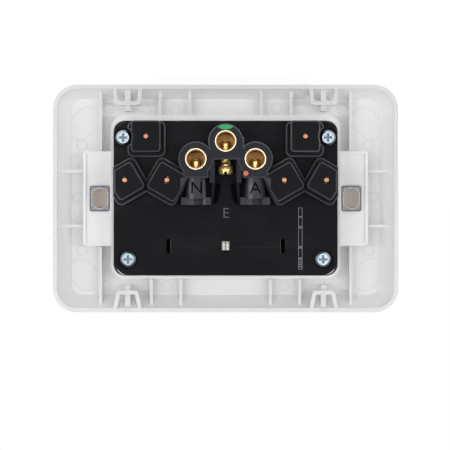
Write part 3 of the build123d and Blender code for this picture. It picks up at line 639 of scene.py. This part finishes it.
class SOCKET_OT_stage(bpy.types.Operator):
    """Add the floor, the lamps, the surrounding light and the camera"""

    bl_idname = "socket.stage"
    bl_label = "Stage"

    def execute(self, context):
        settings = context.scene.socket
        scene = context.scene
        scene.view_settings.view_transform = "Standard"
        self.add_camera(scene)
        self.add_floor(settings)
        self.light_world(scene, settings)
        self.add_lamps(settings)
        return {"FINISHED"}

    def add_camera(self, scene):
        camera_distance = 500 * MM
        aim = (-0.2 * MM, 8.85 * MM)
        view_width = 150.24 * MM
        data = bpy.data.cameras.new("camera")
        data.sensor_width = 36.0
        data.lens = data.sensor_width * camera_distance / view_width
        data.clip_start = 0.01
        camera = bpy.data.objects.new("camera", data)
        camera.location = (aim[0], camera_distance, aim[1])
        camera.rotation_euler = (math.radians(-90), 0, 0)
        scene.collection.objects.link(camera)
        scene.camera = camera

    def add_floor(self, settings):
        """A white floor that glows a little where the camera or a reflection sees it."""
        clear_selection()
        bpy.ops.mesh.primitive_plane_add(size=8.0, location=(0, 0, CAD_BOX[0][2] - 0.02 * MM))
        floor = bpy.context.object
        floor.name = "floor"
        finish = Finish("floor_finish", Roughness=0.6, **{"Specular IOR Level": 0.1})
        grain = finish.noise(300.0, 3.0)
        tone = finish.mix(grain, tuple(settings.floor_colour), shade(settings.floor_colour, 0.99))
        finish.set(Base_Color=tone)
        path = finish.tree.nodes.new("ShaderNodeLightPath").outputs
        camera, glossy, through = (
            Value(finish, path[name]) for name in ("Is Camera Ray", "Is Glossy Ray", "Is Transmission Ray")
        )
        seen = camera.most(glossy).most(through)
        glow = finish.node("ShaderNodeEmission", inputs={"Color": (1.0, 1.0, 1.0), "Strength": 1.25})
        plain = Value(finish, finish.surface.outputs[0])
        mixed = finish.node("ShaderNodeMixShader", inputs={0: seen * 0.7, 1: plain, 2: glow})
        finish.tree.links.new(mixed.socket, finish.output.inputs["Surface"])
        floor.data.materials.append(finish.material)

    def light_world(self, scene, settings):
        """Plain white for the camera; for the pieces a light that falls off towards the sides."""
        world = bpy.data.worlds.new("surrounding")
        scene.world = world
        world.use_nodes = True
        tree = world.node_tree
        tree.nodes.clear()
        path = tree.nodes.new("ShaderNodeLightPath")
        lit = tree.nodes.new("ShaderNodeBackground")
        lit.inputs["Color"].default_value = (1.0, 1.0, 1.0, 1.0)
        direction = tree.nodes.new("ShaderNodeTexCoord")
        split = tree.nodes.new("ShaderNodeSeparateXYZ")
        size = tree.nodes.new("ShaderNodeMath")
        size.operation = "ABSOLUTE"
        level = tree.nodes.new("ShaderNodeMapRange")
        level.inputs["To Min"].default_value = settings.world_side_level
        level.inputs["To Max"].default_value = settings.world_level
        tree.links.new(direction.outputs["Generated"], split.inputs[0])
        tree.links.new(split.outputs["Y"], size.inputs[0])
        tree.links.new(size.outputs[0], level.inputs["Value"])
        tree.links.new(level.outputs[0], lit.inputs["Strength"])
        seen = tree.nodes.new("ShaderNodeBackground")
        seen.inputs["Color"].default_value = (1.0, 1.0, 1.0, 1.0)
        seen.inputs["Strength"].default_value = 1.0
        mix = tree.nodes.new("ShaderNodeMixShader")
        output = tree.nodes.new("ShaderNodeOutputWorld")
        tree.links.new(path.outputs["Is Camera Ray"], mix.inputs[0])
        tree.links.new(lit.outputs[0], mix.inputs[1])
        tree.links.new(seen.outputs[0], mix.inputs[2])
        tree.links.new(mix.outputs[0], output.inputs["Surface"])

    def add_lamps(self, settings):
        for name, place, width, height, share in LAMPS:
            data = bpy.data.lights.new(name, "AREA")
            data.shape = "RECTANGLE"
            data.size = width
            data.size_y = height
            data.energy = settings.lamp_power * share
            lamp = bpy.data.objects.new(name, data)
            lamp.location = place
            lamp.rotation_euler = (-Vector(place)).to_track_quat("-Z", "Y").to_euler()
            bpy.context.scene.collection.objects.link(lamp)


class SOCKET_OT_white_parts(bpy.types.Operator):
    """Finish the cover, the front housing, the rockers and their plungers"""

    bl_idname = "socket.white_parts"
    bl_label = "White parts"

    def execute(self, context):
        settings = context.scene.socket
        white, dark = tuple(settings.white_colour), tuple(settings.white_colour_dark)
        housing = tuple(settings.housing_colour)
        dress(["cover_plate"], white_finish("cover_white", white, dark, 0.42, is_cover=True))
        dress(["front_housing"], white_finish("housing_white", housing, shade(housing, 0.95), 0.45))
        rocker = white_finish("rocker_white", white, shade(white, 0.97), 0.36)
        dress([kind + side for kind in ("rocker_", "plunger_") for side in SIDES], rocker)
        return {"FINISHED"}


class SOCKET_OT_black_base(bpy.types.Operator):
    """Finish the black base"""

    bl_idname = "socket.black_base"
    bl_label = "Black base"

    def execute(self, context):
        dress(["rear_base"], base_finish(context.scene.socket))
        return {"FINISHED"}


class SOCKET_OT_metalwork(bpy.types.Operator):
    """Finish the screws, inserts, strips, contacts, rivets and springs"""

    bl_idname = "socket.metalwork"
    bl_label = "Metalwork"

    def execute(self, context):
        zinc = zinc_finish([self.head_centre("base_screw_" + row + "_right") for row in ("low", "high")])
        steel = insert_finish(centre_of("fixing_insert_right").x / MM)
        tinned = strip_finish("tinned_brass", 11.5)
        strip = strip_finish("strip_brass")
        copper = metal_finish("contact_copper", CONTACT_COPPER, 0.32)
        silver = metal_finish("rivet_silver", RIVET_SILVER, 0.22)
        wire = metal_finish("spring_wire", SPRING_WIRE, 0.25)
        dress([name for name in NODES if name.startswith("base_screw_")], zinc)
        dress([name for name in NODES if name.startswith("fixing_insert_")], steel)
        dress([name for name in NODES if name.startswith(("load_strap_", "seesaw_"))], strip)
        dress(["neutral_strip", "earth_strip"], strip)
        dress(["active_strip"], tinned)
        dress([kind + side for kind in CONTACTS for side in SIDES], copper)
        dress([name for name in NODES if "_rivet_" in name], silver)
        dress([name for name in NODES if name.startswith("switch_spring_")], wire)
        return {"FINISHED"}

    def head_centre(self, node):
        centre = centre_of(node)
        return centre.x / MM, centre.z / MM


class SOCKET_OT_terminals(bpy.types.Operator):
    """Finish the terminal tubes and cut a thread on their clamp screws"""

    bl_idname = "socket.terminals"
    bl_label = "Terminals"

    def execute(self, context):
        settings = context.scene.socket
        dress(["terminal_" + name for name in TERMINALS], tube_finish(settings))
        screw = metal_finish("screw_brass", SCREW_BRASS, 0.24, bump=0.3, metallic=0.75)
        for name in TERMINALS:
            self.cut_thread(settings, name, screw)
        return {"FINISHED"}

    def cut_thread(self, settings, name, material):
        """Replace a plain clamp screw by one of three joined parts: shank, point and head."""
        node = "terminal_screw_" + name
        low, high = (Vector(corner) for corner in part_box(node))
        centre = (low + high) / 2
        pitch = settings.thread_pitch * MM
        crest = 1.7 * MM
        root = crest - settings.thread_depth * MM
        head_z = high.z - 2.6 * MM
        turns = int((head_z - low.z - 0.9 * MM) / pitch)
        shank = self.threaded_shank(settings, centre, low.z + 0.1 * MM, crest, root, pitch, turns)
        point = self.lathe_point(centre, low.z, root, 1.2 * MM)
        head = self.copied_head(node, head_z - 0.6 * MM)
        clear_selection()
        for part in (shank, point, head):
            part.select_set(True)
        bpy.context.view_layer.objects.active = head
        bpy.ops.object.join()
        piece = finished(head, "clamp_screw_" + name, material, "clamp_" + name)
        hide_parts(node)

    def threaded_shank(self, settings, centre, start_z, crest, root, pitch, turns):
        """A zigzag drawn along the shank, then swept round by one pitch for each turn."""
        clear_selection()
        bpy.ops.mesh.primitive_plane_add(size=0.001, location=(0, 0, 0))
        shank = bpy.context.object
        bpy.ops.object.mode_set(mode="EDIT")
        bpy.ops.mesh.merge(type="CENTER")
        bpy.ops.transform.translate(value=(root, 0, 0))
        for step in range(2 * turns):
            out = crest - root if step % 2 == 0 else root - crest
            bpy.ops.mesh.extrude_region_move(TRANSFORM_OT_translate={"value": (out, 0, pitch / 2)})
        bpy.ops.object.mode_set(mode="OBJECT")
        apply_modifier(
            shank,
            "SCREW",
            steps=settings.tube_segments,
            render_steps=settings.tube_segments,
            angle=math.tau,
            screw_offset=pitch,
            use_merge_vertices=True,
            merge_threshold=0.00001,
        )
        bpy.ops.object.mode_set(mode="EDIT")
        bpy.ops.mesh.select_all(action="SELECT")
        bpy.ops.mesh.remove_doubles(threshold=0.000002)
        bpy.ops.mesh.select_all(action="DESELECT")
        bpy.ops.mesh.select_non_manifold()
        bpy.ops.mesh.fill()
        bpy.ops.mesh.select_all(action="SELECT")
        bpy.ops.mesh.normals_make_consistent(inside=False)
        bpy.ops.object.mode_set(mode="OBJECT")
        shank.location = (centre.x, centre.y, start_z)
        return shank

    def lathe_point(self, centre, tip_z, radius, length):
        """The bevelled foot of a screw, which presses on the wire."""
        clear_selection()
        bpy.ops.mesh.primitive_cylinder_add(
            vertices=40, radius=radius, depth=length, location=(centre.x, centre.y, tip_z + length / 2)
        )
        point = bpy.context.object
        apply_modifier(point, "BEVEL", width=0.3 * MM, segments=3, limit_method="ANGLE")
        return point

    def copied_head(self, node, cut_z):
        """A copy of the CAD screw with its plain shank cut away."""
        head = NODES[node].copy()
        head.data = NODES[node].data.copy()
        bpy.context.scene.collection.objects.link(head)
        select_only(head)
        bpy.ops.object.mode_set(mode="EDIT")
        bpy.ops.mesh.select_all(action="SELECT")
        bpy.ops.mesh.remove_doubles(threshold=0.000005)
        bpy.ops.mesh.bisect(plane_co=(0, 0, cut_z), plane_no=(0, 0, 1), use_fill=True, clear_inner=True)
        bpy.ops.object.mode_set(mode="OBJECT")
        return head


class SOCKET_OT_contact_tips(bpy.types.Operator):
    """Add the copper tips that show in the contact chambers' holes"""

    bl_idname = "socket.contact_tips"
    bl_label = "Contact tips"

    def execute(self, context):
        copper = metal_finish("tip_copper", TIP_COPPER, 0.4)
        radius = 1.0 * MM
        for kind in CONTACTS:
            for side in SIDES:
                node = kind + side
                top = Vector(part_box(node)[1]).y
                x, z = self.chamber_centre(node)
                tip = wall_cylinder(x * MM, top - 0.1 * MM, top + 1.15 * MM, z * MM, radius, 32)
                apply_modifier(tip, "BEVEL", width=0.42 * MM, segments=4, limit_method="ANGLE")
                name = "contact_tip_" + node.replace("_contact", "")
                finished(tip, name, copper, HOUSING)
        return {"FINISHED"}

    def chamber_centre(self, node):
        """Where the hole over a contact is, from the plug pattern's standard offsets, in mm."""
        side = -1 if node.endswith("left") else 1
        across = {"active": -6.86, "neutral": 6.86, "earth": 0.0}[node.split("_")[0]]
        along = -10.31 if node.startswith("earth") else 3.96
        return side * 26.0 + across, -9.75 + along


class SOCKET_OT_paint_marks(bpy.types.Operator):
    """Add the green earth mark and the red active mark"""

    bl_idname = "socket.paint_marks"
    bl_label = "Paint marks"

    def execute(self, context):
        settings = context.scene.socket
        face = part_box("terminal_earth")[1][1]
        thickness = 0.05 * MM
        green = paint_finish("earth_green", tuple(settings.earth_mark_colour))
        red = paint_finish("active_red", tuple(settings.active_mark_colour))
        centre_z = settings.earth_terminal_z * MM
        lens = wall_cylinder(0, face - thickness, face + thickness, centre_z, 5.32 * MM, 128)
        bite = wall_cylinder(0, face - MM, face + MM, centre_z - 7.6 * MM, 3.9 * MM, 96)
        select_only(lens)
        cut = lens.modifiers.new("overlap", "BOOLEAN")
        cut.operation = "INTERSECT"
        cut.object = bite
        cut.solver = "EXACT"
        bpy.ops.object.modifier_apply(modifier=cut.name)
        bpy.data.objects.remove(bite)
        finished(lens, "earth_mark", green, HOUSING)
        dot = wall_cylinder(6.6 * MM, face - thickness, face + thickness, -7.95 * MM, 0.82 * MM, 40)
        apply_modifier(dot, "BEVEL", width=0.06 * MM, segments=3, limit_method="ANGLE")
        finished(dot, "active_mark", red, HOUSING)
        return {"FINISHED"}


class SOCKET_OT_gauge_strip(bpy.types.Operator):
    """Add the narrow ladder moulded on the base beside the right-hand slot"""

    bl_idname = "socket.gauge_strip"
    bl_label = "Moulded ladder"

    def execute(self, context):
        settings = context.scene.socket
        raised = paint_finish("raised_ladder", shade(settings.raised_mark_colour, 1.6))
        low_x, high_x = 24.0 * MM, 25.4 * MM
        low_z, high_z = 3.1 * MM, 23.6 * MM
        clear_selection()
        bpy.ops.mesh.primitive_plane_add(size=1.0, rotation=(math.radians(-90), 0, 0))
        ladder = bpy.context.object
        ladder.scale = (high_x - low_x, high_z - low_z, 1.0)
        ladder.location = ((low_x + high_x) / 2, BASE_FACE + 0.08 * MM, (low_z + high_z) / 2)
        bpy.ops.object.transform_apply(location=True, rotation=True, scale=True)
        bpy.ops.object.mode_set(mode="EDIT")
        for height in LADDER_RUNGS_Z:
            bpy.ops.mesh.select_all(action="SELECT")
            bpy.ops.mesh.bisect(plane_co=(0, 0, height * MM), plane_no=(0, 0, 1))
        bpy.ops.mesh.select_all(action="SELECT")
        bpy.ops.mesh.inset(thickness=0.22 * MM, use_individual=True)
        bpy.ops.mesh.delete(type="FACE")
        bpy.ops.object.mode_set(mode="OBJECT")
        apply_modifier(ladder, "SOLIDIFY", thickness=0.12 * MM, offset=0.0)
        finished(ladder, "moulded_ladder", raised, HOUSING)
        return {"FINISHED"}


class SOCKET_OT_letters(bpy.types.Operator):
    """Add the letters beside the terminals"""

    bl_idname = "socket.letters"
    bl_label = "Terminal letters"

    def execute(self, context):
        settings = context.scene.socket
        # Painted shade: the N and A are near-black sheets where the letters' grooves are.
        dark = Finish("letter_groove_shade", Roughness=0.7, **{"Specular IOR Level": 0.05})
        dark.set(Base_Color=dark.mix(dark.noise(900.0), *LETTER_GROOVE_SHADE))
        raised = paint_finish("raised_mark", tuple(settings.raised_mark_colour))
        places = {"N": 0.25 - settings.side_terminal_x, "A": 0.05 + settings.side_terminal_x}
        for text, x in places.items():
            letter = self.letter(text, 1.14 * settings.letter_height * MM, 0.03 * MM, 0.0)
            letter.location = (x * MM, 14 * MM, -3.1 * MM)
            self.wrap(letter)
            finished(letter, "letter_" + text.lower(), dark.material, HOUSING)
        letter = self.letter("E", settings.letter_height * MM, 0.15 * MM)
        letter.location = (0.1 * MM, BASE_FACE, 5.05 * MM)
        finished(letter, "letter_e", raised, HOUSING)
        return {"FINISHED"}

    def letter(self, text, height, depth, weight=-0.012):
        """A sans-serif capital that is read from behind the plate, with its foot towards +Z."""
        clear_selection()
        bpy.ops.object.text_add(rotation=(math.radians(-90), 0, 0))
        piece = bpy.context.object
        piece.data.body = text
        piece.data.align_x = "CENTER"
        piece.data.align_y = "CENTER"
        piece.data.size = height / 0.73
        piece.data.offset = weight * piece.data.size
        piece.data.extrude = depth
        bpy.ops.object.convert(target="MESH")
        return bpy.context.object

    def wrap(self, letter):
        """Lay a letter on the round sleeve under it."""
        select_only(letter)
        bpy.ops.object.transform_apply(location=True, rotation=True, scale=True)
        bpy.ops.object.mode_set(mode="EDIT")
        bpy.ops.mesh.select_all(action="SELECT")
        bpy.ops.mesh.remove_doubles(threshold=0.000002)
        bpy.ops.mesh.subdivide(number_cuts=3)
        bpy.ops.object.mode_set(mode="OBJECT")
        apply_modifier(
            letter,
            "SHRINKWRAP",
            target=NODES["rear_base"],
            wrap_method="PROJECT",
            use_project_y=True,
            use_negative_direction=True,
            use_positive_direction=False,
            offset=0.03 * MM,
        )


OPERATORS = (
    SOCKET_OT_stage,
    SOCKET_OT_white_parts,
    SOCKET_OT_black_base,
    SOCKET_OT_metalwork,
    SOCKET_OT_terminals,
    SOCKET_OT_contact_tips,
    SOCKET_OT_paint_marks,
    SOCKET_OT_gauge_strip,
    SOCKET_OT_letters,
)


class SOCKET_PT_sidebar(bpy.types.Panel):
    """Lists the socket's pieces"""

    bl_label = "Socket"
    bl_idname = "SOCKET_PT_sidebar"
    bl_space_type = "VIEW_3D"
    bl_region_type = "UI"
    bl_category = "Socket"

    def draw(self, context):
        for operator in OPERATORS:
            self.layout.operator(operator.bl_idname)
        for name in SocketSettings.__annotations__:
            self.layout.prop(context.scene.socket, name)


CLASSES = (SocketSettings, *OPERATORS, SOCKET_PT_sidebar)


def register():
    for item in CLASSES:
        bpy.utils.register_class(item)
    bpy.types.Scene.socket = PointerProperty(type=SocketSettings)


def unregister():
    del bpy.types.Scene.socket
    for item in reversed(CLASSES):
        bpy.utils.unregister_class(item)


def main():
    register()
    for operator in OPERATORS:
        group, name = operator.bl_idname.split(".")
        getattr(getattr(bpy.ops, group), name)()


if __name__ == "__main__":
    main()
